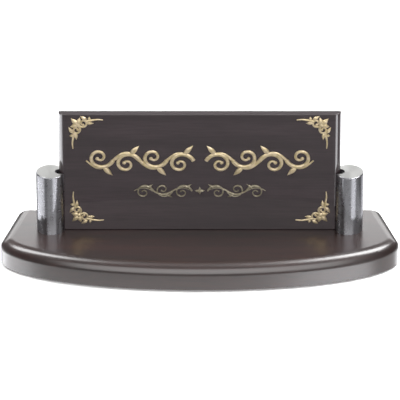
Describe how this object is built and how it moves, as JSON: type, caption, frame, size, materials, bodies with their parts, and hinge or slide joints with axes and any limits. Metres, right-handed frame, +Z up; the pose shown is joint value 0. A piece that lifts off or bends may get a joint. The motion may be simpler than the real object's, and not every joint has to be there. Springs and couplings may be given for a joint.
{
  "type": "desk name plaque",
  "caption": "Lacquered wooden panel with raised gilt ornament, held upright in the slots of two steel posts on a D-shaped wooden base, and lifting straight out.",
  "frame": {"origin": "on the table, under the middle of the plaque's bounding box", "axes": "+X to the right along the panel, -Y to the front, +Z up"},
  "size_m": [0.352, 0.1, 0.1425],
  "materials": {
    "board_lacquer": "dark brown high-gloss lacquer",
    "panel_lacquer": "dark brown gloss lacquer",
    "polished_steel": "polished side, satin turned top",
    "gilt": "pale satin gilt",
    "zinc_steel": "bright zinc plate",
    "felt": "black wool felt"
  },
  "bodies": {
    "stand": {"base_board": "board_lacquer", "foot_front_left": "felt", "foot_front_right": "felt", "foot_back_left": "felt", "foot_back_right": "felt", "left_post": "polished_steel", "left_post_screw": "zinc_steel", "left_post_washer": "zinc_steel", "right_post": "polished_steel", "right_post_screw": "zinc_steel", "right_post_washer": "zinc_steel"},
    "panel": {"name_panel": "panel_lacquer", "top_left_corner": "gilt", "bottom_left_corner": "gilt", "left_scroll": "gilt", "left_vine": "gilt", "top_right_corner": "gilt", "bottom_right_corner": "gilt", "right_scroll": "gilt", "right_vine": "gilt", "centre_lozenge": "gilt"}
  },
  "joints": [
    {"name": "panel_lift", "type": "slide", "parent": "stand", "child": "panel", "axis": [0, 0, 1], "range_m": [0, 0.065]}
  ]
}
